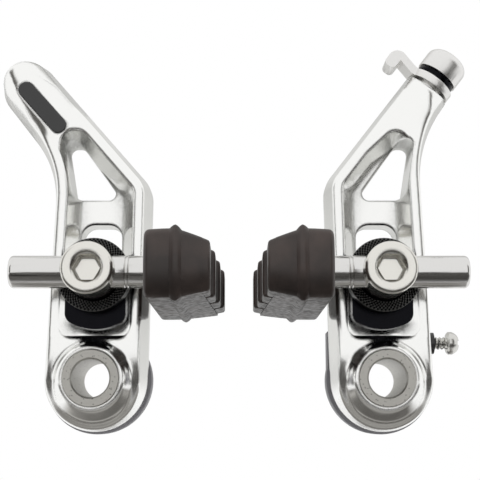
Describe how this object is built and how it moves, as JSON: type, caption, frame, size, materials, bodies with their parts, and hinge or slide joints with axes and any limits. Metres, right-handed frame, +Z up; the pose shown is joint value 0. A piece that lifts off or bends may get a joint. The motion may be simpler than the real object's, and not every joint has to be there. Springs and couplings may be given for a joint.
{
  "type": "cantilever brake",
  "caption": "Bicycle cantilever brake: forged arms that swing on sprung bushes, rubber pads on clamped posts, a cable anchor bolt and a spring tension screw.",
  "frame": {"origin": "midway between the two pivot axes, on the plane where the bushes meet the fork", "axes": "+X to the right as seen from the front, +Y towards the fork, +Z up along the arms"},
  "size_m": [0.1061, 0.0618, 0.0876],
  "materials": {
    "polished_aluminium": "polished",
    "plain_steel": "satin",
    "plated_steel": "polished",
    "black_steel": "satin",
    "grey_plastic": "matte",
    "black_plastic": "satin",
    "pad_rubber": "matte"
  },
  "bodies": {
    "boss_bushes": {"left_pivot_bush": "plain_steel", "left_return_spring": "plain_steel", "right_pivot_bush": "plain_steel", "right_return_spring": "plain_steel"},
    "left_arm": {"left_arm": "polished_aluminium", "left_spring_cover": "grey_plastic", "left_badge_plate": "black_plastic"},
    "left_clamp": {"left_guide_block": "black_steel", "left_serrated_washer": "black_steel", "left_rear_washer": "plain_steel"},
    "left_eye": {"left_eye_bolt": "plated_steel", "left_clamp_nut": "plated_steel"},
    "left_post": {"left_pad_post": "plated_steel"},
    "left_pad": {"left_brake_pad": "pad_rubber"},
    "right_arm": {"right_arm": "polished_aluminium", "right_spring_cover": "grey_plastic", "right_hook_plate": "plated_steel", "right_clamp_ring": "black_steel", "right_anchor_bolt": "plated_steel", "right_screw_insert": "black_plastic"},
    "right_clamp": {"right_guide_block": "black_steel", "right_serrated_washer": "black_steel", "right_rear_washer": "plain_steel"},
    "right_eye": {"right_eye_bolt": "plated_steel", "right_clamp_nut": "plated_steel"},
    "right_post": {"right_pad_post": "plated_steel"},
    "right_pad": {"right_brake_pad": "pad_rubber"},
    "tension_screw": {"right_tension_screw": "plain_steel"}
  },
  "joints": [
    {"name": "left_arm_pivot", "type": "hinge", "parent": "boss_bushes", "child": "left_arm", "pos_m": [-0.03175, 0, 0], "axis": [0, 1, 0], "range_deg": [-45, 2], "stiffness_Nm_per_rad": 1.5, "deforming": ["left_return_spring"]},
    {"name": "left_clamp_height", "type": "slide", "parent": "left_arm", "child": "left_clamp", "axis": [0, 0, 1], "range_m": [-0.0008, 0.005]},
    {"name": "left_pad_angle", "type": "hinge", "parent": "left_clamp", "child": "left_eye", "pos_m": [-0.03085, 0, 0.0216], "axis": [0, 1, 0], "range_deg": [-6, 6]},
    {"name": "left_post_reach", "type": "slide", "parent": "left_eye", "child": "left_post", "axis": [1, 0, 0], "range_m": [-0.0003, 0.0005]},
    {"name": "left_pad_roll", "type": "hinge", "parent": "left_post", "child": "left_pad", "pos_m": [-0.012, -0.03, 0.0216], "axis": [1, 0, 0], "range_deg": [-12, 12]},
    {"name": "right_arm_pivot", "type": "hinge", "parent": "boss_bushes", "child": "right_arm", "pos_m": [0.03175, 0, 0], "axis": [0, -1, 0], "range_deg": [-45, 2], "stiffness_Nm_per_rad": 1.5, "deforming": ["right_return_spring"]},
    {"name": "right_clamp_height", "type": "slide", "parent": "right_arm", "child": "right_clamp", "axis": [0, 0, 1], "range_m": [-0.0008, 0.005]},
    {"name": "right_pad_angle", "type": "hinge", "parent": "right_clamp", "child": "right_eye", "pos_m": [0.03085, 0, 0.0216], "axis": [0, -1, 0], "range_deg": [-6, 6]},
    {"name": "right_post_reach", "type": "slide", "parent": "right_eye", "child": "right_post", "axis": [-1, 0, 0], "range_m": [-0.0003, 0.0005]},
    {"name": "right_pad_roll", "type": "hinge", "parent": "right_post", "child": "right_pad", "pos_m": [0.012, -0.03, 0.0216], "axis": [1, 0, 0], "range_deg": [-12, 12]},
    {"name": "tension_screw_travel", "type": "slide", "parent": "right_arm", "child": "tension_screw", "axis": [1, 0, 0], "range_m": [-0.0015, 0.001], "deforming": ["right_return_spring"]}
  ]
}
